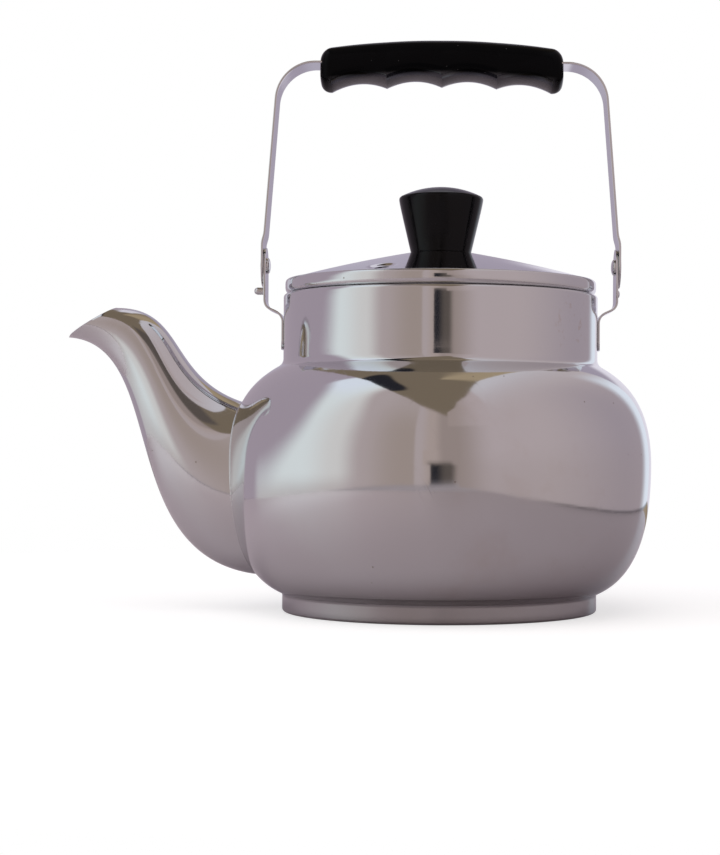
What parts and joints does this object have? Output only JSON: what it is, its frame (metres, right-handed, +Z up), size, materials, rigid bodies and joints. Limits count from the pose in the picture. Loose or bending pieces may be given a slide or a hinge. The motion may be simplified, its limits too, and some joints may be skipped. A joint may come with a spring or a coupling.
{
  "type": "teapot",
  "caption": "Round-bellied steel teapot with a swan-neck spout, a domed lift-off lid with a black knob and a swinging bail handle with a finger-grooved grip.",
  "frame": {"origin": "on the pot's axis, in the plane of the table that its foot stands on", "axes": "+Z up along the pot's axis, -X towards the spout, the bail swings about X"},
  "size_m": [0.26, 0.188, 0.2539],
  "materials": {
    "polished_steel": "mirror-polished stainless steel",
    "plain_steel": "unpolished stainless steel",
    "black_plastic": "glossy moulded black",
    "brass": "turned"
  },
  "bodies": {
    "pot": {"body_shell": "polished_steel", "base_pan": "polished_steel", "neck_collar": "polished_steel", "spout": "polished_steel", "strainer": "plain_steel", "spout_side_lug": "polished_steel", "rear_lug": "polished_steel", "spout_side_stop_peg": "polished_steel", "rear_stop_peg": "polished_steel", "spout_side_rivet": "polished_steel", "rear_rivet": "polished_steel"},
    "bail": {"bail_strap": "polished_steel", "grip": "black_plastic"},
    "lid": {"lid_shell": "polished_steel", "lid_skirt": "plain_steel", "knob": "black_plastic", "knob_insert": "brass", "knob_washer": "plain_steel", "knob_screw": "plain_steel"}
  },
  "joints": [
    {"name": "bail_swing", "type": "hinge", "parent": "pot", "child": "bail", "pos_m": [0, 0, 0.1535], "axis": [1, 0, 0], "range_deg": [-97, 97]},
    {"name": "lid_lift", "type": "slide", "parent": "pot", "child": "lid", "axis": [0, 0, 1], "range_m": [0, 0.042]}
  ]
}
